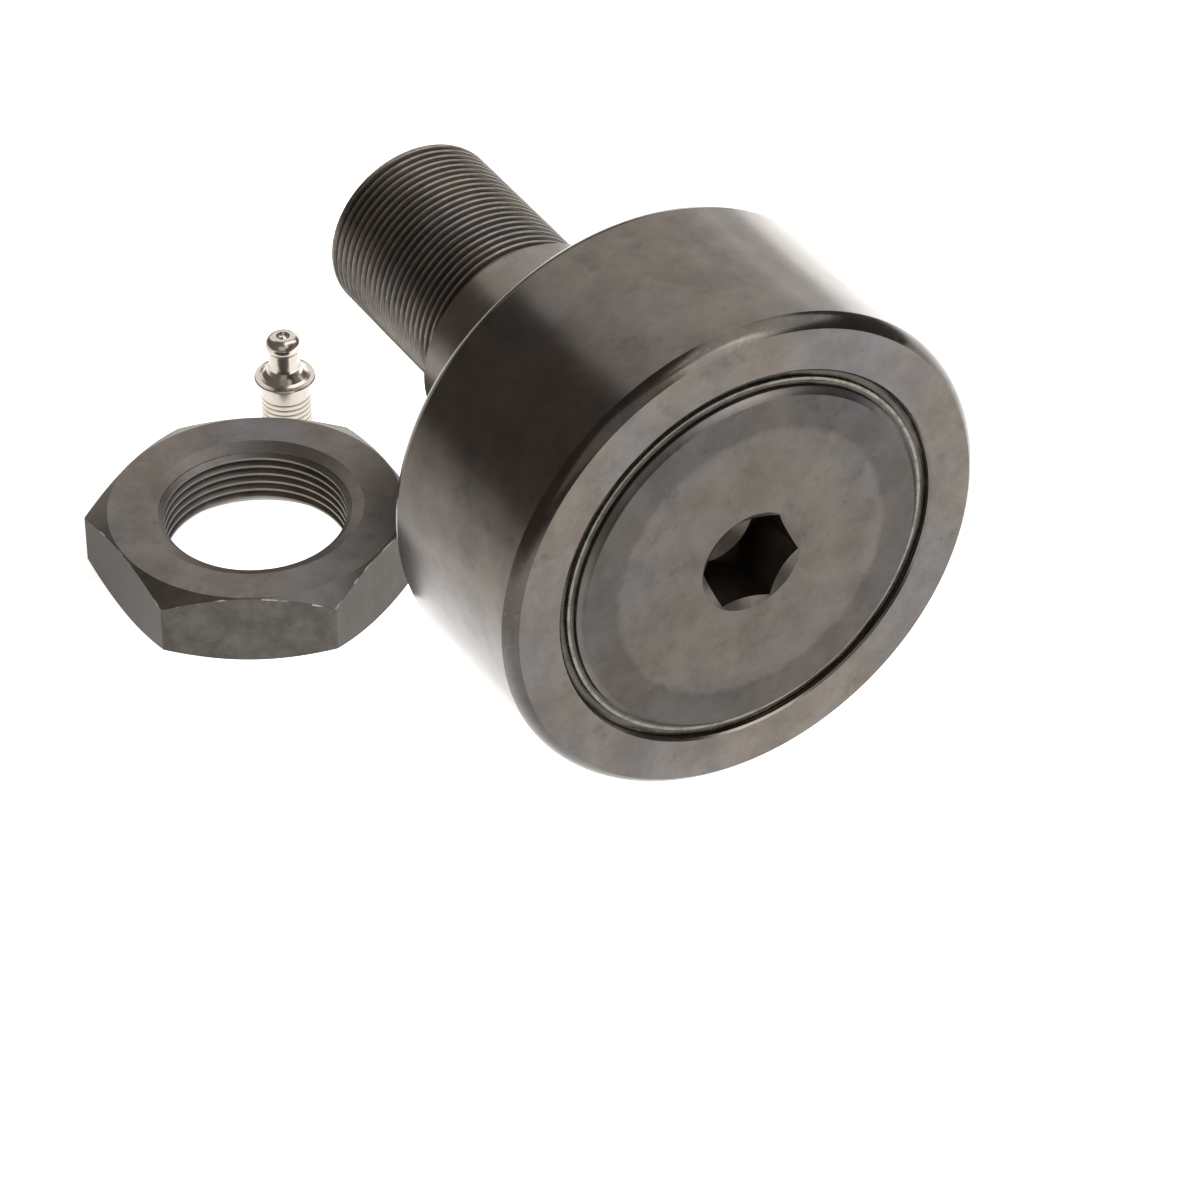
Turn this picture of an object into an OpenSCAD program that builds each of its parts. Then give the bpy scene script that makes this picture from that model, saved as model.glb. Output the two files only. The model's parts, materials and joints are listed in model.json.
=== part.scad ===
// Stud-type needle cam follower with an eccentric bushing, laid out with its jam nut and grease
// fitting. The follower lies on its tread with the stud level, the nut lies flat beside the stud,
// and the fitting stands upright on its shank. Millimetres, +Z up, table at z = 0. The origin is on
// the table under the middle of the whole set. The stud's axis is parallel to X, head towards +X.

/* [Roller] */
// Diameter of the tread
roller_d = 80; // [78:1:90]
// Width of the outer ring
roller_w = 35; // [33:1:40]
// Height of the bowed bevel on each tread edge, along the radius
bevel_h = 1.6; // [1.2:0.05:2]
// Width of the bowed bevel on each tread edge, along the axis
bevel_w = 2.35; // [1.5:0.05:2.7]
// Diameter of the recess that holds each seal
recess_d = 62.9; // [62.6:0.1:68]
// Depth of each seal recess
recess_depth = 4.8; // [4.8:0.1:6]

/* [Needles] */
// Number of needle rollers, a full complement without a cage
needle_count = 29; // [12:1:29]
// Diameter of one needle roller
needle_d = 5; // [4:0.1:5]
// Diameter of the inner raceway on the stud
inner_race_d = 42; // [42:0.5:44]
// Radial clearance on each side of the needles
race_gap = 0.04; // [0.02:0.01:0.05]

/* [Stud] */
// Diameter of the head and of the rear end plate
head_d = 58; // [54:0.1:58.2]
// Bevel round the outer face of the head and of the end plate
head_bevel = 0.9; // [0.4:0.1:1.2]
// How far head and end plate stand out of the ring
side_step = 1; // [0.5:0.1:1.5]
// Diameter of the shrink-fit seat under the bushing
seat_d = 30.05; // [30.05:0.01:30.1]
// Diameter of the press-fit seat of the end plate
plate_seat_d = 38.2; // [38.2:0.2:40]
// Length of the stud behind the end plate
stud_len = 63; // [60:1:70]
// Nominal diameter of the thread on stud and nut
thread_nominal_d = 30; // [29:0.5:30]
// How far the stud's thread crests lie under the nominal diameter
crest_allowance = 0.26; // [0.26:0.01:0.4]
// Pitch of the thread on stud and nut
pitch = 1.5; // [1.5:0.5:2]
// Width across the flats of the hex socket
socket_af = 14.1; // [12:0.1:14.1]
// Depth of the hex socket
socket_depth = 11; // [8:0.5:11]
// Turn of the hex socket about the stud's axis
socket_turn = 23.4; // [0:0.1:60]
// Diameter of the grease hole in the threaded end
grease_hole_d = 8; // [6:0.5:8]

/* [Eccentric bushing] */
// Outside diameter of the bushing
bushing_d = 35; // [34:1:38]
// Length of the bushing
bushing_len = 29; // [26:1:29]
// Offset of the bushing's outside from the stud's axis
eccentricity = 1.5; // [0.5:0.1:1.5]

/* [Jam nut] */
// Width across the flats
nut_af = 46; // [44:1:50]
// Thickness of the nut
nut_h = 12; // [11:0.5:15]
// Diameter of the shallow countersink on the upper face
top_sink_d = 33.8; // [32:0.1:35]
// Diameter of the deeper countersink on the lower face
bottom_sink_d = 34.4; // [33:0.1:36]
// Turn of the nut about its axis
nut_turn = -1; // [-30:1:30]

/* [Grease fitting] */
// Overall height of the fitting
fitting_h = 17.4; // [17.3:0.1:19]
// Diameter of the shank that is driven into the stud
shank_d = 8; // [7.5:0.1:8.5]
// Diameter of the check ball
ball_d = 1.9; // [1.8:0.01:1.9]

/* [Layout] */
// Distance from the origin to the ring's front face along X
follower_x = 57.9; // [55:0.1:60]
// Distance from the origin to the stud's axis along Y
follower_y = 10.9; // [8:0.1:14]
// Place of the nut's axis along X
nut_x = -23.4; // [-30:0.1:-20]
// Place of the nut's axis along Y
nut_y = -28; // [-34:0.1:-26]
// Place of the fitting's axis along X
fitting_x = -53.8; // [-60:0.1:-53.8]
// Place of the fitting's axis along Y
fitting_y = -6.3; // [-8:0.1:-4]

/* [Hidden] */
$fn = 96;
eps = 0.01;

// How far a cutting shape runs past the face it opens
over = 1;

needle_names = [for (i = [1:needle_count]) str("needle_", i < 10 ? "0" : "", i)];

// Colours
black_oxide = [0.24, 0.22, 0.20];
ground_oxide = [0.40, 0.38, 0.36];
bright_steel = [0.72, 0.71, 0.69];
nickel = [0.80, 0.78, 0.74];
seal_rubber = [0.08, 0.08, 0.08];

// Stations along the stud's axis: 0 is the ring's front face, the stud runs towards minus
pitch_r = inner_race_d / 2 + race_gap + needle_d / 2;
outer_race_r = pitch_r + needle_d / 2 + race_gap;
thrust_gap = 0.2;
head_back = thrust_gap - recess_depth;
plate_front = -roller_w - head_back;
plate_back = -roller_w - side_step;
bushing_end = plate_back - bushing_len;
stud_end = plate_back - stud_len;
edge_break = 0.4;

// Metric 60 degree thread drawn as rings of one pitch
crest_flat = pitch / 8;
root_flat = pitch / 4;
flank = (pitch - crest_flat - root_flat) / 2;
thread_depth = 0.5266 * pitch;
crest_bevel_h = 0.08 * pitch;
crest_bevel_w = 0.13 * pitch;
thread_d = thread_nominal_d - crest_allowance;
plain_run = 1;
end_chamfer = 1;
end_land = 0.2;
thread_start = bushing_end - plain_run;
stud_grooves = floor((thread_start - stud_end - end_chamfer - end_land) / pitch);
thread_stop = thread_start - stud_grooves * pitch;
nut_minor_r = thread_nominal_d / 2 - 0.539 * pitch;
nut_major_r = nut_minor_r + 0.5413 * pitch;

// Seals: a rubber lip that runs on the head, and a metal case with a collar that stands round it
lip_in_r = head_d / 2 + 0.05;
lip_h = 3.2;
collar_in_r = head_d / 2 + 0.62;
collar_out_r = collar_in_r + 0.48;
collar_top = -0.6;
case_base_h = 2.7;

// Local z runs along the stud's axis with the head end positive
module on_stud_axis() {
    translate([follower_x, follower_y, roller_d / 2])
        rotate([0, 90, 0])
            children();
}

// Two-dimensional box given by its corners, for profiles that are spun round the axis
module span(r0, z0, r1, z1) {
    translate([r0, z0])
        square([r1 - r0, z1 - z0]);
}

// Mirrors a part of the front side onto the rear side of the roller
module rear_side() {
    translate([0, 0, -roller_w])
        mirror([0, 0, 1])
            children();
}

// Outline points of the threaded stretch, from the plain run to the end chamfer. Each crest has a
// flat with a small bevel on both sides.
function stud_thread_points() = [
    for (i = [0:stud_grooves - 1])
        let (
            z = thread_start - i * pitch,
            r = thread_d / 2,
            crest_end = z - crest_flat,
            root_start = crest_end - flank
        )
            each [
                [r, z],
                [r, crest_end],
                [r - crest_bevel_h, crest_end - crest_bevel_w],
                [r - thread_depth, root_start],
                [r - thread_depth, root_start - root_flat],
                [r - crest_bevel_h, z - pitch + crest_bevel_w]
            ]
];

module stud_outline() {
    head_r = head_d / 2;
    seat_r = seat_d / 2;
    crest_r = thread_d / 2;
    seat_end = bushing_end - edge_break;
    polygon(concat(
        [
            [0, side_step],
            [head_r - head_bevel, side_step],
            [head_r, side_step - head_bevel],
            [head_r, head_back + edge_break],
            [head_r - edge_break, head_back],
            [inner_race_d / 2, head_back],
            [inner_race_d / 2, plate_front],
            [plate_seat_d / 2, plate_front],
            [plate_seat_d / 2, plate_back],
            [seat_r, plate_back],
            [seat_r, seat_end],
            [crest_r, seat_end - (seat_r - crest_r)]
        ],
        stud_thread_points(),
        [
            [crest_r, thread_stop],
            [crest_r, stud_end + end_chamfer],
            [crest_r - end_chamfer, stud_end],
            [0, stud_end]
        ]
    ));
}

module hex_socket() {
    corner_d = socket_af / cos(30);
    mouth_r = 8.4;
    mouth_slope = 0.75;
    bottom = side_step - socket_depth;
    drill_half_angle = 59;
    point_h = socket_af / 2 / tan(drill_half_angle);
    rotate([0, 0, socket_turn])
        translate([0, 0, bottom])
            cylinder(h = socket_depth + over, d = corner_d, $fn = 6);
    translate([0, 0, side_step - mouth_r * mouth_slope])
        cylinder(h = (mouth_r + over) * mouth_slope, r1 = 0, r2 = mouth_r + over);
    translate([0, 0, bottom - point_h])
        cylinder(h = point_h + eps, r1 = 0, d2 = socket_af);
}

module grease_passages() {
    press_depth = 12;
    passage_d = 6;
    cross_d = 3.5;
    passage_top = -roller_w / 2;
    mouth_h = 0.8;
    mouth_d = grease_hole_d + 2 * mouth_h;
    translate([0, 0, stud_end - over])
        cylinder(h = press_depth + over, d = grease_hole_d);
    translate([0, 0, stud_end - eps])
        cylinder(h = mouth_h, d1 = mouth_d, d2 = grease_hole_d);
    translate([0, 0, stud_end])
        cylinder(h = passage_top - stud_end, d = passage_d);
    translate([0, 0, passage_top - cross_d / 2])
        rotate([0, -90, 0])
            cylinder(h = inner_race_d / 2 + over, d = cross_d);
}

module stud() {
    color(black_oxide)
        on_stud_axis()
            difference() {
                rotate_extrude()
                    stud_outline();
                hex_socket();
                grease_passages();
            }
}

module rear_end_plate() {
    plate_r = head_d / 2;
    color(black_oxide)
        on_stud_axis()
            rotate_extrude()
                polygon([
                    [plate_seat_d / 2, plate_front],
                    [plate_r - edge_break, plate_front],
                    [plate_r, plate_front - edge_break],
                    [plate_r, plate_back + head_bevel],
                    [plate_r - head_bevel, plate_back],
                    [plate_seat_d / 2, plate_back]
                ]);
}

module eccentric_bushing() {
    bushing_r = bushing_d / 2;
    break_h = 0.5;
    color(ground_oxide)
        on_stud_axis()
            difference() {
                translate([eccentricity, 0, 0])
                    rotate_extrude()
                        polygon([
                            [0, plate_back],
                            [bushing_r - break_h, plate_back],
                            [bushing_r, plate_back - break_h],
                            [bushing_r, bushing_end + break_h],
                            [bushing_r - break_h, bushing_end],
                            [0, bushing_end]
                        ]);
                translate([0, 0, bushing_end - over])
                    cylinder(h = bushing_len + 2 * over, d = seat_d);
            }
}

// What the bowed bevel takes off the corner between tread and front face. The bow is an arc through
// both ends of the bevel, so that it meets tread and face at a slight edge.
module bevel_cut() {
    tread_r = roller_d / 2;
    half_sweep = 23;
    chord = sqrt(bevel_h * bevel_h + bevel_w * bevel_w);
    arc_r = chord / 2 / sin(half_sweep);
    back = arc_r * cos(half_sweep) / chord;
    difference() {
        span(tread_r - bevel_h, -bevel_w, tread_r + over, over);
        translate([tread_r - bevel_h / 2 - back * bevel_w, -bevel_w / 2 - back * bevel_h])
            circle(r = arc_r);
    }
}

module ring_outline() {
    tread_r = roller_d / 2;
    recess_r = recess_d / 2;
    mouth_break = 0.3;
    difference() {
        union() {
            span(outer_race_r, recess_depth - roller_w, tread_r, -recess_depth);
            span(recess_r, -roller_w, tread_r, 0);
        }
        bevel_cut();
        translate([0, -roller_w])
            mirror([0, 1])
                bevel_cut();
        for (z = [0, -roller_w])
            translate([recess_r, z])
                rotate([0, 0, 45])
                    square(mouth_break * sqrt(2), center = true);
    }
}

module outer_ring() {
    color(black_oxide)
        on_stud_axis()
            rotate_extrude()
                ring_outline();
}

module seal_case() {
    rotate_extrude() {
        span(collar_in_r, -recess_depth, recess_d / 2, case_base_h - recess_depth);
        span(collar_in_r, -recess_depth, collar_out_r, collar_top);
    }
}

module seal_lip() {
    rotate_extrude()
        span(lip_in_r, -recess_depth, collar_in_r, lip_h - recess_depth);
}

module front_seal_case() {
    color(bright_steel)
        on_stud_axis()
            seal_case();
}

module front_seal_lip() {
    color(seal_rubber)
        on_stud_axis()
            seal_lip();
}

module rear_seal_case() {
    color(bright_steel)
        on_stud_axis()
            rear_side()
                seal_case();
}

module rear_seal_lip() {
    color(seal_rubber)
        on_stud_axis()
            rear_side()
                seal_lip();
}

module needle(index) {
    needle_r = needle_d / 2;
    end_gap = 0.05;
    end_break = 0.3;
    front = -recess_depth - end_gap;
    back = recess_depth - roller_w + end_gap;
    color(bright_steel)
        on_stud_axis()
            rotate([0, 0, index * 360 / needle_count])
                translate([pitch_r, 0, 0])
                    rotate_extrude()
                        polygon([
                            [0, front],
                            [needle_r - end_break, front],
                            [needle_r, front - end_break],
                            [needle_r, back + end_break],
                            [needle_r - end_break, back],
                            [0, back]
                        ]);
}

// Outline points of the nut's bore, from the bottom countersink to the top one. The grooves hang
// on the foot of the top countersink, and the bottom countersink takes what height is left.
function nut_thread_points() =
    let (
        top_r = top_sink_d / 2,
        bottom_r = bottom_sink_d / 2,
        top_slope = 0.39,
        least_bottom_h = 2.4,
        crest_wall = pitch / 4,
        rise = (pitch - crest_wall - crest_flat) / 2,
        root_top = nut_h - (top_r - nut_major_r) * top_slope,
        crest_top = root_top - crest_flat - rise,
        turns = floor((crest_top - crest_wall - least_bottom_h) / pitch),
        bottom_h = crest_top - crest_wall - turns * pitch,
        bottom_slope = bottom_h / (bottom_r - nut_minor_r)
    )
        concat(
            [
                [0, -over],
                [bottom_r + over / bottom_slope, -over],
                [nut_minor_r, bottom_h]
            ],
            [
                for (i = [0:turns - 1])
                    let (z = bottom_h + crest_wall + i * pitch)
                        each [
                            [nut_minor_r, z],
                            [nut_major_r, z + rise],
                            [nut_major_r, z + rise + crest_flat],
                            [nut_minor_r, z + 2 * rise + crest_flat]
                        ]
            ],
            [
                [nut_minor_r, crest_top],
                [nut_major_r, crest_top + rise],
                [nut_major_r, root_top],
                [top_r + over / top_slope, nut_h + over],
                [0, nut_h + over]
            ]
        );

module jam_nut() {
    corner_r = 26.45;
    face_r = 22.8;
    corner_drop = (corner_r - face_r) * tan(30);
    color(black_oxide)
        translate([nut_x, nut_y, 0])
            difference() {
                intersection() {
                    rotate([0, 0, nut_turn])
                        cylinder(h = nut_h, d = nut_af / cos(30), $fn = 6);
                    rotate_extrude()
                        polygon([
                            [0, 0],
                            [face_r, 0],
                            [corner_r, corner_drop],
                            [corner_r, nut_h - corner_drop],
                            [face_r, nut_h],
                            [0, nut_h]
                        ]);
                }
                rotate_extrude()
                    polygon(nut_thread_points());
            }
}

// Heights inside the fitting; those of the head hang on the fitting's height
ball_z = fitting_h - 1.04;
mouth_z = fitting_h - 0.5;
chamber_z = 12.5;
chamber_r = 1.05;
shoulder_z = 9.4;

module fitting_outline() {
    shank_r = shank_d / 2;
    groove_r = shank_r - 0.25;
    groove_count = 6;
    groove_step = 0.94;
    first_groove = 1.35;
    shoulder_r = 4.9;
    neck_r = 2.5;
    cap_r = 2.93;
    cap_round = 1.65;
    cap_middle = fitting_h - cap_round;
    intersection() {
        translate([cap_r - cap_round, cap_middle])
            circle(r = cap_round);
        span(0, cap_middle - 2 * cap_round, 2 * cap_r, fitting_h + over);
    }
    span(0, cap_middle - over, cap_r - cap_round, fitting_h);
    polygon(concat(
        [
            [0, 0],
            [shank_r - 0.6, 0],
            [shank_r, 1]
        ],
        [
            for (i = [0:groove_count - 1])
                let (z = first_groove + i * groove_step)
                    each [
                        [shank_r, z],
                        [groove_r, z + 0.1],
                        [groove_r, z + 0.3],
                        [shank_r, z + 0.4]
                    ]
        ],
        [
            [shank_r, shoulder_z],
            [shoulder_r, shoulder_z],
            [shoulder_r, shoulder_z + 0.2],
            [shoulder_r - 0.15, shoulder_z + 0.35],
            [shoulder_r - 0.8, shoulder_z + 0.5],
            [shoulder_r - 1.3, shoulder_z + 0.75],
            [neck_r + 0.4, shoulder_z + 1.4],
            [neck_r + 0.05, shoulder_z + 2.1],
            [neck_r, shoulder_z + 2.6],
            [neck_r, cap_middle],
            [0, cap_middle]
        ]
    ));
}

module fitting_bore() {
    mouth_r = 0.8;
    dish_r = 1.1;
    passage_r = 0.7;
    seat_z = mouth_z - 0.3;
    translate([0, 0, -over])
        cylinder(h = chamber_z + over + eps, r = passage_r);
    translate([0, 0, chamber_z])
        cylinder(h = seat_z - chamber_z, r = chamber_r);
    translate([0, 0, seat_z])
        cylinder(h = mouth_z - seat_z, r1 = chamber_r, r2 = mouth_r);
    translate([0, 0, mouth_z])
        cylinder(h = fitting_h - mouth_z + eps, r1 = mouth_r, r2 = dish_r);
}

module grease_fitting() {
    color(nickel)
        translate([fitting_x, fitting_y, 0])
            difference() {
                rotate_extrude()
                    fitting_outline();
                fitting_bore();
            }
}

module check_ball() {
    color(bright_steel)
        translate([fitting_x, fitting_y, ball_z])
            sphere(d = ball_d);
}

// A coil of round wire between the step in the bore and the ball, ground flat at both ends. The
// wire's level cross-section is a bent oval, which the twist turns into a coil.
module ball_spring() {
    wire_r = 0.12;
    coil_r = 0.75;
    turns = 5;
    ball_gap = 0.02;
    ball_r = ball_d / 2;
    top = ball_z - sqrt(ball_r * ball_r - (coil_r - wire_r) * (coil_r - wire_r)) - ball_gap;
    half_arc = 360 * wire_r * turns / (top - chamber_z);
    color(bright_steel)
        translate([fitting_x, fitting_y, chamber_z])
            linear_extrude(height = top - chamber_z, twist = -360 * turns, slices = 14 * turns, $fn = 8)
                polygon([
                    for (u = [0:22.5:337.5])
                        let (r = coil_r + wire_r * sin(u), a = half_arc * cos(u))
                            [r * cos(a), r * sin(a)]
                ]);
}

stud();
rear_end_plate();
eccentric_bushing();
outer_ring();
front_seal_case();
front_seal_lip();
rear_seal_case();
rear_seal_lip();
for (i = [1:needle_count])
    needle(i);
jam_nut();
grease_fitting();
check_ball();
ball_spring();
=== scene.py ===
import json
import math
import random

import bpy
from mathutils import Matrix, Vector


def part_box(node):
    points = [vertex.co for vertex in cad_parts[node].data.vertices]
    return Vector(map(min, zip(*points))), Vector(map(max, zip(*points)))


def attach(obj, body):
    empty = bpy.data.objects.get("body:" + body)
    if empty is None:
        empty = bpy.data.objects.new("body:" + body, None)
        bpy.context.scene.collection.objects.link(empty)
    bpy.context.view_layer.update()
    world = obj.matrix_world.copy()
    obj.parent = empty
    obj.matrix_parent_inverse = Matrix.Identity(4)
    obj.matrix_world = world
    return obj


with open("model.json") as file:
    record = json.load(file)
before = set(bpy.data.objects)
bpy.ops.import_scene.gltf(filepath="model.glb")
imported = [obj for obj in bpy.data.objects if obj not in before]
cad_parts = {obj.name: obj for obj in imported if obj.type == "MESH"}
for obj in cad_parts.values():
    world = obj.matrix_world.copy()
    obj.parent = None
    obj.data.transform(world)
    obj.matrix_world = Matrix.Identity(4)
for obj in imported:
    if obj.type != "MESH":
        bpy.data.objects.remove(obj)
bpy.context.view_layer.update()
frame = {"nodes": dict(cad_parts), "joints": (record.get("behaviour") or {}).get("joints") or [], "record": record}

MM = 0.001
spin = next(j for j in frame["joints"] if j["name"] == "roller_spin")
AXIS = Vector(spin["pos_m"])
FRONT_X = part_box("outer_ring")[1].x
nut_low, nut_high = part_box("jam_nut")
NUT = (nut_low + nut_high) / 2
fit_low, fit_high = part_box("grease_fitting")
FITTING = (fit_low + fit_high) / 2
thread = next(m for m in frame["record"]["mounts"] if m["name"] == "stud_thread")
CREST_R = thread["dims"]["r_mm"] * MM
TOP_Z = nut_high.z
NUT_TURN = -1  # degrees
NUT_REACH = 23.0 * MM  # axis to flat
NUT_FACE_R = 22.8 * MM
NUT_CORNER_R = 26.45 * MM
NUT_BEVEL = math.radians(30)
ring_low, ring_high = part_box("outer_ring")
RING_R = (ring_high.z - ring_low.z) / 2
RING_W = ring_high.x - ring_low.x
COLLAR_IN_R = 29.62 * MM
COLLAR_R = 30.10 * MM
HEAD_R = 29.0 * MM
DISC_R = 21.9 * MM
RECESS_R = 31.45 * MM
BEVEL_H = 1.60 * MM
BEVEL_W = 2.35 * MM
THREAD_START = -66.0 * MM

# black oxide: how much warmer than grey it is, and the pitch of its turning marks in mm
WARMTH = 0.13
TURNING_PITCH = 0.22

# grease, in mm: its depth, how far its level drifts, and the gap from which it swells fully
GREASE_DEPTH = 1.05
GREASE_DRIFT = 0.22
GREASE_FULL_GAP = 1.3


# ---------------------------------------------------------------- shader helpers
class Shader:
    """Builds one node material. Sockets and plain numbers can be mixed in every call."""

    def __init__(self, name):
        self.mat = bpy.data.materials.new(name)
        self.mat.use_nodes = True
        self.tree = self.mat.node_tree
        self.tree.nodes.clear()
        out = self.tree.nodes.new("ShaderNodeOutputMaterial")
        self.bsdf = self.tree.nodes.new("ShaderNodeBsdfPrincipled")
        self.tree.links.new(self.bsdf.outputs["BSDF"], out.inputs["Surface"])
        self.coord = self.tree.nodes.new("ShaderNodeTexCoord").outputs["Object"]

    def put(self, socket, value):
        if isinstance(value, bpy.types.NodeSocket):
            self.tree.links.new(value, socket)
        elif value is not None:
            socket.default_value = value

    def math(self, op, a, b=None, c=None):
        n = self.tree.nodes.new("ShaderNodeMath")
        n.operation = op
        for i, v in enumerate((a, b, c)):
            self.put(n.inputs[i], v)
        return n.outputs[0]

    def noise(self, scale, detail=3.0, rough=0.5, w=None, seed=0.0):
        """Cloudy noise in space, or along one line where w gives the place on it."""
        n = self.tree.nodes.new("ShaderNodeTexNoise")
        n.inputs["Scale"].default_value = scale
        n.inputs["Detail"].default_value = detail
        n.inputs["Roughness"].default_value = rough
        if w is None:
            n.noise_dimensions = "4D"
            n.inputs["W"].default_value = seed
            self.put(n.inputs["Vector"], self.coord)
        else:
            n.noise_dimensions = "1D"
            self.put(n.inputs["W"], w)
        return n.outputs["Fac"]

    def ramp(self, value, low, high):
        """Smooth 0 to 1 as value goes from low to high."""
        n = self.tree.nodes.new("ShaderNodeMapRange")
        n.interpolation_type = "SMOOTHSTEP"
        self.put(n.inputs["Value"], value)
        n.inputs["From Min"].default_value = low
        n.inputs["From Max"].default_value = high
        return n.outputs[0]

    def span(self, value, low, high):
        """Straight line from low to high as value goes from 0 to 1."""
        return self.math("MULTIPLY_ADD", value, high - low, low)

    def mix(self, fac, a, b):
        n = self.tree.nodes.new("ShaderNodeMix")
        n.data_type = "RGBA"
        self.put(n.inputs["Factor"], fac)
        self.put(n.inputs["A"], (*a, 1.0) if isinstance(a, tuple) else a)
        self.put(n.inputs["B"], (*b, 1.0) if isinstance(b, tuple) else b)
        return n.outputs["Result"]

    def mix1(self, fac, a, b):
        n = self.tree.nodes.new("ShaderNodeMix")
        n.data_type = "FLOAT"
        self.put(n.inputs["Factor"], fac)
        self.put(n.inputs["A"], a)
        self.put(n.inputs["B"], b)
        return n.outputs["Result"]

    def mix_normal(self, fac, a, b):
        n = self.tree.nodes.new("ShaderNodeMix")
        n.data_type = "VECTOR"
        self.put(n.inputs["Factor"], fac)
        # a Mix node's vector sockets are inputs 4 and 5 and output 1
        self.put(n.inputs[4], a)
        self.put(n.inputs[5], b)
        return n.outputs[1]

    def bump(self, height, depth_mm, strength=1.0, after=None):
        n = self.tree.nodes.new("ShaderNodeBump")
        n.inputs["Strength"].default_value = strength
        n.inputs["Distance"].default_value = depth_mm * MM
        self.put(n.inputs["Height"], height)
        if after is not None:
            self.put(n.inputs["Normal"], after)
        return n.outputs["Normal"]

    def scale(self, colour, factor):
        n = self.tree.nodes.new("ShaderNodeVectorMath")
        n.operation = "SCALE"
        self.put(n.inputs[0], colour)
        self.put(n.inputs["Scale"], factor)
        return n.outputs[0]

    def xyz(self):
        n = self.tree.nodes.new("ShaderNodeSeparateXYZ")
        self.put(n.inputs[0], self.coord)
        return n.outputs

    def both(self, a, b):
        return self.math("MULTIPLY", a, b)

    def stud_place(self):
        """Radius from the stud's axis, and the station along it from the ring's front face."""
        where = self.xyz()
        y = self.math("SUBTRACT", where[1], AXIS.y)
        z = self.math("SUBTRACT", where[2], AXIS.z)
        radius = self.math("SQRT", self.math("ADD", self.both(y, y), self.both(z, z)))
        return radius, self.math("SUBTRACT", where[0], FRONT_X)

    def upright_place(self, centre):
        """Radius from an upright axis through centre, and the height."""
        where = self.xyz()
        x = self.math("SUBTRACT", where[0], centre.x)
        y = self.math("SUBTRACT", where[1], centre.y)
        radius = self.math("SQRT", self.math("ADD", self.both(x, x), self.both(y, y)))
        return radius, where[2]

    def hex_reach(self, centre, turn):
        """Distance from an upright hexagon's axis to its flats: the largest of three directions."""
        where = self.xyz()
        x = self.math("SUBTRACT", where[0], centre.x)
        y = self.math("SUBTRACT", where[1], centre.y)
        reach = None
        for k in range(3):
            a = math.radians(turn + 30 + 60 * k)
            towards_x = self.math("MULTIPLY", x, math.cos(a))
            towards_y = self.math("MULTIPLY", y, math.sin(a))
            distance = self.math("ABSOLUTE", self.math("ADD", towards_x, towards_y))
            reach = distance if reach is None else self.math("MAXIMUM", reach, distance)
        return reach

    def set(self, **inputs):
        for name, value in inputs.items():
            self.put(self.bsdf.inputs[name.replace("_", " ")], value)


def tint(level):
    """Reflectance of black oxide: a warm brown-grey of the given level."""
    return (level * (1 + WARMTH), level, level * (1 - WARMTH))


def black_oxide(name, level, place, rough=(0.30, 0.38), turned=0.5):
    """Ground and blackened steel: turning marks round the axis, soft cloudy patches with a violet or
    bluish cast, dark flecks, and fine grain in the roughness."""
    s = Shader(name)
    radius, along = place(s)
    across = s.math("ADD", radius, along)
    clouds = s.ramp(s.noise(150, 5, 0.68), 0.30, 0.70)
    fine = s.noise(900, 3, 0.55, seed=3.0)
    cast = s.ramp(s.noise(42, 3, 0.6, seed=7.0), 0.42, 0.68)
    base = s.mix(s.math("MULTIPLY", cast, 0.75), tint(level), (level * 0.98, level * 0.97, level * 1.03))
    flecks = s.ramp(s.noise(520, 3, 0.6, seed=13.0), 0.66, 0.74)
    shade = s.math("ADD", s.span(clouds, 0.84, 1.16), s.span(fine, -0.06, 0.06))
    shade = s.math("MULTIPLY", shade, s.span(flecks, 1.0, 0.78))
    smudge = s.ramp(s.noise(190, 4, 0.7, seed=17.0), 0.54, 0.70)
    shade = s.math("MULTIPLY", shade, s.span(smudge, 1.0, 0.80))
    colour = s.scale(base, shade)
    marks = s.noise(1 / (TURNING_PITCH * MM), 3, 0.6, w=across)
    roughness = s.math("ADD", s.span(s.noise(260, 4, 0.6, seed=11.0), *rough), s.span(fine, -0.02, 0.02))
    normal = s.bump(marks, 0.0022 * turned, 1.0)
    normal = s.bump(s.noise(1600, 2, 0.5, seed=5.0), 0.0016, 1.0, after=normal)
    return s, colour, roughness, normal, radius, along


def on_stud(s):
    return s.stud_place()


def on_nut(s):
    return s.upright_place(NUT)


def on_fitting(s):
    return s.upright_place(FITTING)


def finish_oxide(s, colour, roughness, normal):
    s.set(Metallic=1.0, Base_Color=colour, Roughness=roughness, Normal=normal)
    return s.mat


def roller_material():
    s, colour, rough, normal, radius, along = black_oxide(
        "roller_oxide", 0.136, on_stud, rough=(0.17, 0.24))
    # darker bevels, front and rear: depth counts inwards from whichever face is nearer
    depth = s.math("MAXIMUM", along, s.math("SUBTRACT", -RING_W, along))
    on_bevel = s.both(s.ramp(radius, RING_R - BEVEL_H - 0.02 * MM, RING_R - BEVEL_H + 0.06 * MM),
                      s.ramp(depth, -BEVEL_W - 0.03 * MM, -BEVEL_W + 0.05 * MM))
    colour = s.scale(colour, s.span(on_bevel, 1.0, 0.62))
    # handling wear: pale hairlines over the front bevel
    edge = s.ramp(radius, RING_R - 1.9 * MM, RING_R - 1.5 * MM)
    near_face = s.ramp(along, -2.5 * MM, -2.2 * MM)
    hair = s.ramp(s.noise(700, 4, 0.7, seed=31.0), 0.56, 0.74)
    wear = s.both(s.both(edge, near_face), s.math("MULTIPLY", hair, 0.35))
    colour = s.mix(wear, colour, (0.20, 0.185, 0.17))
    return finish_oxide(s, colour, rough, normal)


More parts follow.
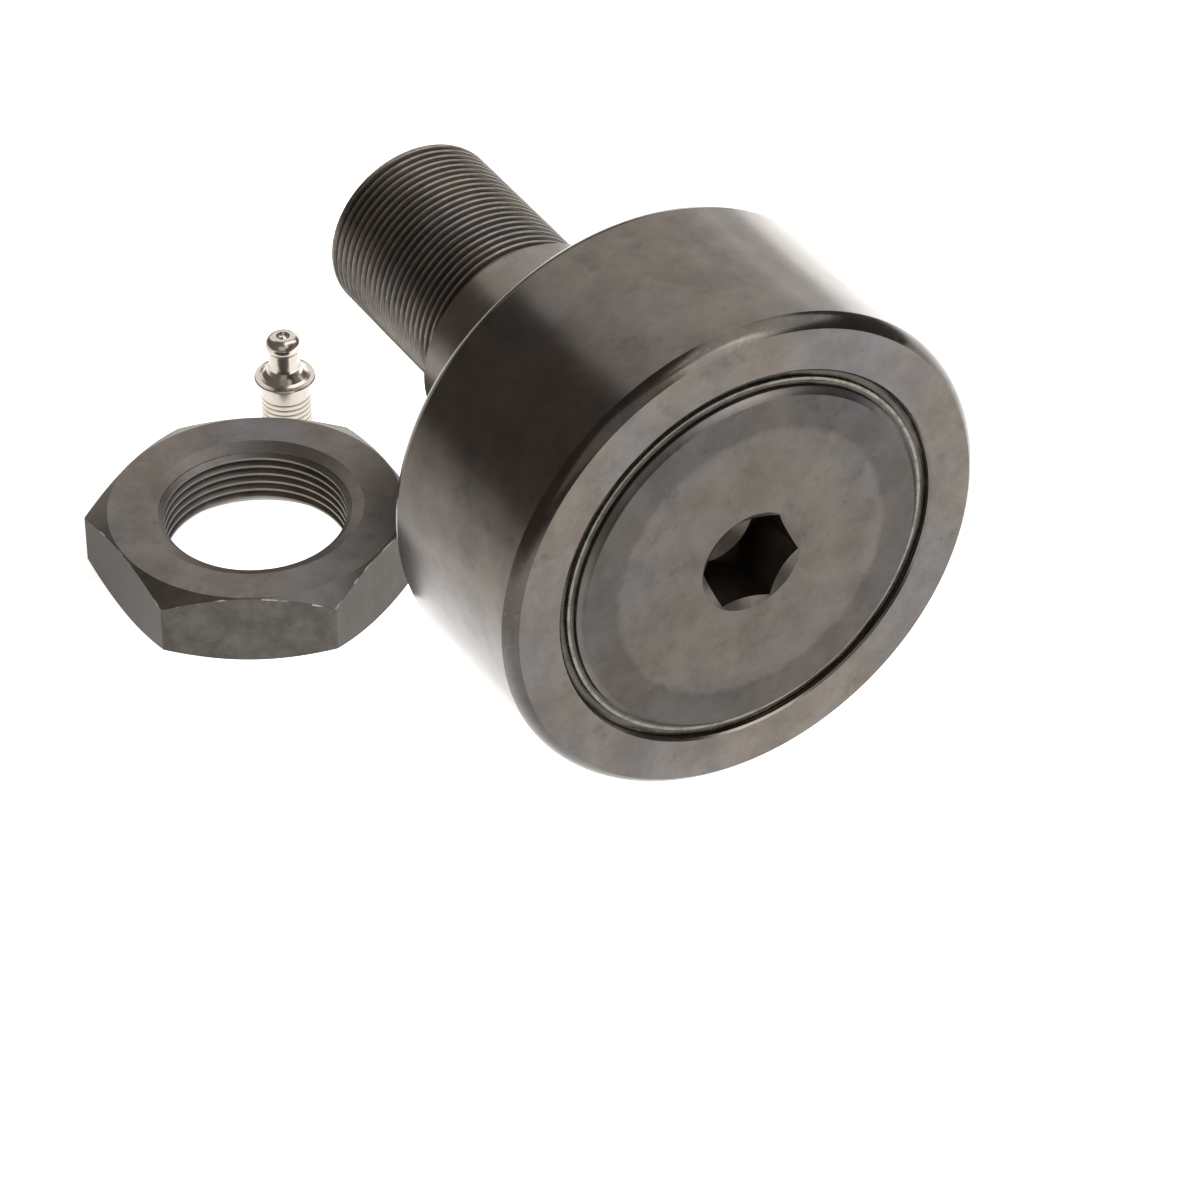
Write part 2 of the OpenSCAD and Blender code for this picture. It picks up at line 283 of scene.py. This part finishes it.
def stud_material():
    s, colour, rough, normal, radius, along = black_oxide("stud_oxide", 0.110, on_stud)
    # the rim of the head is darker than the ground disc inside it
    face = s.ramp(along, 0.4 * MM, 0.9 * MM)
    wander = s.span(s.noise(260, 4, 0.6, seed=2.0), -1.0 * MM, 1.0 * MM)
    rim = s.ramp(s.math("ADD", radius, wander), DISC_R, DISC_R + 1.4 * MM)
    colour = s.scale(colour, s.span(s.both(face, rim), 1.0, 0.73))
    # thread: worn crests with painted highlights in broken glints, and painted shade down the flanks into the
    # roots
    in_thread = s.math("SUBTRACT", 1.0, s.ramp(along, THREAD_START - 0.6 * MM, THREAD_START))
    crest = s.ramp(radius, CREST_R - 0.12 * MM, CREST_R - 0.02 * MM)
    broken = s.ramp(s.noise(700, 3, 0.6, seed=21.0), 0.42, 0.62)
    colour = s.mix(in_thread, colour, s.scale(colour, 1.45))
    crest_wear_and_glint = s.both(s.both(in_thread, crest), broken)
    # pale crests: partly real wear, partly a painted highlight
    colour = s.mix(s.math("MULTIPLY", crest_wear_and_glint, 0.45), colour, (0.30, 0.28, 0.26))
    # painted shade in the thread roots and low on the flanks
    root_shade = s.math("SUBTRACT", 1.0, s.ramp(radius, CREST_R - 0.80 * MM, CREST_R - 0.35 * MM))
    colour = s.mix(s.math("MULTIPLY", s.both(in_thread, root_shade), 0.2), colour, tint(0.07))
    return finish_oxide(s, colour, rough, normal)


def plain_material(name, level, **look):
    s, colour, rough, normal, *_ = black_oxide(name, level, on_stud, **look)
    return finish_oxide(s, colour, rough, normal)


def nut_material():
    s, colour, rough, normal, radius, height = black_oxide(
        "nut_oxide", 0.150, on_nut, rough=(0.36, 0.46), turned=0.4)
    reach = s.hex_reach(NUT, NUT_TURN)
    flats = s.ramp(reach, NUT_REACH - 0.10 * MM, NUT_REACH - 0.03 * MM)
    side = s.math("MAXIMUM", flats, s.ramp(radius, NUT_CORNER_R - 0.12 * MM, NUT_CORNER_R - 0.04 * MM))
    # sides: rougher and darker than the faces, with pale scuffs and pits
    scuffs = s.ramp(s.noise(170, 6, 0.72, seed=41.0), 0.40, 0.72)
    specks = s.ramp(s.noise(1300, 3, 0.6, seed=43.0), 0.66, 0.76)
    side_colour = s.mix(s.math("MULTIPLY", scuffs, 0.75), tint(0.058), (0.135, 0.130, 0.118))
    side_colour = s.mix(s.math("MULTIPLY", specks, 0.5), side_colour, (0.25, 0.24, 0.22))
    colour = s.mix(side, colour, side_colour)
    rough = s.mix1(side, rough, s.span(scuffs, 0.46, 0.58))
    pits = s.bump(s.noise(650, 5, 0.65, seed=47.0), 0.05, 0.7)
    # broken pale line where the bevel meets the sides
    bevel = s.math("MULTIPLY_ADD", s.math("SUBTRACT", radius, NUT_FACE_R), math.tan(NUT_BEVEL), height)
    line = s.both(s.ramp(bevel, TOP_Z - 0.16 * MM, TOP_Z - 0.05 * MM),
                  s.ramp(reach, NUT_REACH - 0.16 * MM, NUT_REACH - 0.06 * MM))
    dashes = s.ramp(s.noise(330, 3, 0.6, seed=51.0), 0.50, 0.60)
    colour = s.mix(s.math("MULTIPLY", s.both(line, dashes), 0.85), colour, (0.52, 0.50, 0.47))
    return finish_oxide(s, colour, rough, s.mix_normal(side, normal, pits))


def steel_material(name, colour, rough, place=on_stud):
    """Bright steel or nickel with fine marks round its axis and a slightly cloudy surface."""
    s = Shader(name)
    radius, along = place(s)
    marks = s.noise(1 / (0.12 * MM), 3, 0.6, w=s.math("ADD", radius, along))
    clouds = s.noise(500, 3, 0.55)
    s.set(Metallic=1.0, Base_Color=s.scale(colour, s.span(clouds, 0.82, 1.08)),
          Roughness=s.span(clouds, rough - 0.05, rough + 0.07), Normal=s.bump(marks, 0.0008))
    return s.mat


def seal_case_material():
    """Pressed steel under a thin film of grease: warm grey, with darker smears."""
    s = Shader("seal_case_steel")
    smear = s.ramp(s.noise(420, 4, 0.65, seed=61.0), 0.42, 0.62)
    fine = s.noise(1900, 3, 0.6, seed=62.0)
    colour = s.mix(s.math("MULTIPLY", smear, 0.7), (0.23, 0.225, 0.20), (0.10, 0.095, 0.08))
    s.set(Metallic=1.0, Base_Color=s.scale(colour, s.span(fine, 0.85, 1.15)),
          Roughness=s.mix1(smear, 0.34, 0.20), Normal=s.bump(fine, 0.006, 0.6))
    return s.mat


def rubber_material():
    """Brown-black rubber with greasy patches."""
    s = Shader("greasy_rubber")
    grain = s.noise(1500, 3, 0.6)
    patch = s.ramp(s.noise(350, 3, 0.6, seed=4.0), 0.4, 0.65)
    s.set(Base_Color=s.mix(patch, (0.060, 0.050, 0.040), (0.100, 0.083, 0.066)),
          Roughness=s.mix1(patch, 0.5, 0.16), Normal=s.bump(grain, 0.02, 0.6))
    return s.mat


def grease_material():
    """Glossy brown-black grease."""
    s = Shader("dark_grease")
    thick = s.ramp(s.noise(450, 4, 0.6, seed=71.0), 0.35, 0.7)
    ripple = s.noise(1400, 3, 0.55, seed=72.0)
    s.set(Base_Color=s.mix(thick, (0.042, 0.034, 0.025), (0.092, 0.074, 0.055)),
          Roughness=s.span(ripple, 0.16, 0.34), Normal=s.bump(ripple, 0.05, 0.6))
    return s.mat


materials = {
    "outer_ring": roller_material(),
    "stud": stud_material(),
    "rear_end_plate": plain_material("plate_oxide", 0.12),
    "eccentric_bushing": plain_material("bushing_oxide", 0.185, rough=(0.26, 0.33), turned=0.3),
    "jam_nut": nut_material(),
    "grease_fitting": steel_material("fitting_nickel", (0.62, 0.575, 0.515), 0.19, place=on_fitting),
    "check_ball": steel_material("ball_steel", (0.70, 0.70, 0.69), 0.12, place=on_fitting),
    "ball_spring": steel_material("spring_wire", (0.50, 0.50, 0.50), 0.30, place=on_fitting),
}
seal_steel = seal_case_material()
rubber = rubber_material()
needle_steel = steel_material("needle_steel", (0.62, 0.61, 0.60), 0.14)
for name in frame["nodes"]:
    if name.endswith("seal_case"):
        materials[name] = seal_steel
    elif name.endswith("seal_lip"):
        materials[name] = rubber
    elif name.startswith("needle_"):
        materials[name] = needle_steel
for name, node in frame["nodes"].items():
    for slot in node.material_slots:
        slot.material = materials[name]


# ---------------------------------------------------------------- grease in the front seal's two gaps
def wave(rng, count):
    """A smooth periodic function of the angle, from -1 to 1, made of a few random waves."""
    parts = []
    for _ in range(count):
        parts.append((rng.randint(2, 30), rng.uniform(0, math.tau), rng.uniform(0.3, 1.0)))
    total = sum(p[2] for p in parts)
    return lambda a: sum(w * math.sin(k * a + t) for k, t, w in parts) / total


def stud_point(along, radius, angle):
    return (FRONT_X + along, AXIS.y + radius * math.cos(angle), AXIS.z + radius * math.sin(angle))


def new_piece(name, verts, faces, body, material):
    mesh = bpy.data.meshes.new(name)
    mesh.from_pydata(verts, [], faces)
    mesh.polygons.foreach_set("use_smooth", [True] * len(faces))
    mesh.update()
    obj = bpy.data.objects.new(name, mesh)
    bpy.context.scene.collection.objects.link(obj)
    obj.data.materials.append(materials[material])
    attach(obj, body)


def grease_ring(name, seed, inner, outer, top):
    """Grease standing between two round walls of the front seal, with its surface about at top."""
    rng = random.Random(seed)
    level, hump, ridge = wave(rng, 7), wave(rng, 9), wave(rng, 12)
    steps = 720
    bottom = top - GREASE_DEPTH * MM
    swell = min(1.0, (outer - inner) / (GREASE_FULL_GAP * MM))
    rows = 7
    verts, faces = [], []
    for i in range(steps):
        a = math.tau * i / steps
        base = top + GREASE_DRIFT * swell * level(a) * MM
        verts.append(stud_point(bottom, inner, a))
        for k in range(rows):
            t = k / (rows - 1)
            crown = math.sin(math.pi * t)
            lift = swell * crown * (0.20 + 0.16 * hump(a + 0.6 * t) + 0.10 * ridge(a - t)) * MM
            climb = swell * (0.12 + 0.10 * hump(a)) * MM * (abs(2 * t - 1) ** 3)
            verts.append(stud_point(base + lift + climb, inner + (outer - inner) * t, a))
        verts.append(stud_point(bottom, outer, a))
    ring = rows + 2
    for i in range(steps):
        p, q = i * ring, ((i + 1) % steps) * ring
        for k in range(ring):
            m = (k + 1) % ring
            faces.append((p + k, q + k, q + m, p + m))
    new_piece(name, verts, faces, "roller", "grease")


materials["grease"] = grease_material()
grease_ring("pocket_grease", 5, COLLAR_R + 0.01 * MM, RECESS_R - 0.01 * MM, -1.35 * MM)
grease_ring("gap_grease", 8, HEAD_R + 0.04 * MM, COLLAR_IN_R - 0.01 * MM, -0.60 * MM)


# ---------------------------------------------------------------- stage
def floor():
    """White paper that glows with painted light, so that no hard shadow falls on it. The painted glow is strongest
    beside and behind the object, calmer in front of it, dimmed as painted shade round the fitting, and fades out
    far to the left."""
    size = 2.4
    mesh = bpy.data.meshes.new("floor")
    corners = [(-size, -size, 0), (size, -size, 0), (size, size, 0), (-size, size, 0)]
    mesh.from_pydata(corners, [], [(0, 1, 2, 3)])
    obj = bpy.data.objects.new("floor", mesh)
    bpy.context.scene.collection.objects.link(obj)
    s = Shader("floor_paper")
    grain = s.noise(600, 3, 0.5)
    where = s.xyz()
    # distance from the middle to the left, slightly towards the camera
    left = s.math("ADD", s.math("MULTIPLY", where[0], -0.342), s.math("MULTIPLY", where[1], -0.94))
    # painted light: the floor's own glow, brightest beside and behind the object
    glow = s.math("SUBTRACT", 1.65, s.math("MULTIPLY", s.ramp(left, 0.02, 0.09), 0.95))
    glow = s.mix1(s.ramp(where[0], 0.045, 0.075), glow, 0.80)
    # painted shade: less glow round the fitting
    fitting_shade_patch = s.both(s.ramp(where[0], -0.015, -0.045), s.ramp(where[1], 0.10, 0.05))
    glow = s.both(glow, s.span(fitting_shade_patch, 1.0, 0.62))
    # painted shade: the glow fades out far to the left
    glow = s.both(glow, s.span(s.ramp(left, 0.14, 0.27), 1.0, 0.1))
    s.set(Base_Color=s.mix(grain, (0.88, 0.88, 0.88), (0.92, 0.92, 0.92)), Roughness=0.9,
          Normal=s.bump(grain, 0.02, 0.3), Emission_Color=(1.0, 0.995, 0.985, 1.0),
          Emission_Strength=glow)
    mesh.materials.append(s.mat)


def area_light(name, place, target, size, power):
    data = bpy.data.lights.new(name, "AREA")
    data.shape = "RECTANGLE"
    data.size, data.size_y = size
    data.energy = power
    obj = bpy.data.objects.new(name, data)
    obj.location = place
    obj.rotation_mode = "QUATERNION"
    obj.rotation_quaternion = (Vector(target) - Vector(place)).to_track_quat("-Z", "Y")
    obj.visible_camera = False
    bpy.context.scene.collection.objects.link(obj)


def polar(azimuth, elevation, distance):
    """Point in the direction azimuth (0 is +X, 90 is +Y) and elevation, in degrees."""
    a, e = math.radians(azimuth), math.radians(elevation)
    return Vector((math.cos(a) * math.cos(e), math.sin(a) * math.cos(e), math.sin(e))) * distance


def lights():
    area_light("overhead", polar(68, 60, 0.9), (0, 0, 0), (0.88, 0.88), 4.2)
    area_light("back_panel", polar(157, 36, 1.3), (0, 0, 0.03), (1.60, 0.95), 4.8)
    area_light("side_panel", polar(129, 6, 1.5), (0, 0, 0.04), (0.78, 0.56), 1.35)
    area_light("front_box", polar(22, 43, 1.2), (0.05, 0, 0.04), (0.60, 0.60), 3.6)
    area_light("camera_fill", polar(-31, 38, 1.5), (0, 0, 0.04), (1.3, 1.1), 2.1)
    world = bpy.data.worlds.new("studio")
    world.use_nodes = True
    background = world.node_tree.nodes["Background"]
    background.inputs["Color"].default_value = (0.17, 0.145, 0.125, 1)
    background.inputs["Strength"].default_value = 1.0
    bpy.context.scene.world = world


def camera():
    data = bpy.data.cameras.new("camera")
    data.sensor_width = 36
    data.lens = 183.6
    data.clip_start, data.clip_end = 0.05, 20
    obj = bpy.data.objects.new("camera", data)
    place = (0.64991, -0.36016, 0.58776)
    azimuth, elevation, roll = 59.69, 38.48, -0.85
    obj.matrix_world = (
        Matrix.Translation(place)
        @ Matrix.Rotation(math.radians(azimuth), 4, "Z")
        @ Matrix.Rotation(math.radians(90 - elevation), 4, "X")
        @ Matrix.Rotation(math.radians(roll), 4, "Z")
    )
    bpy.context.scene.collection.objects.link(obj)
    bpy.context.scene.camera = obj


floor()
lights()
camera()
bpy.context.scene.view_settings.view_transform = "Standard"
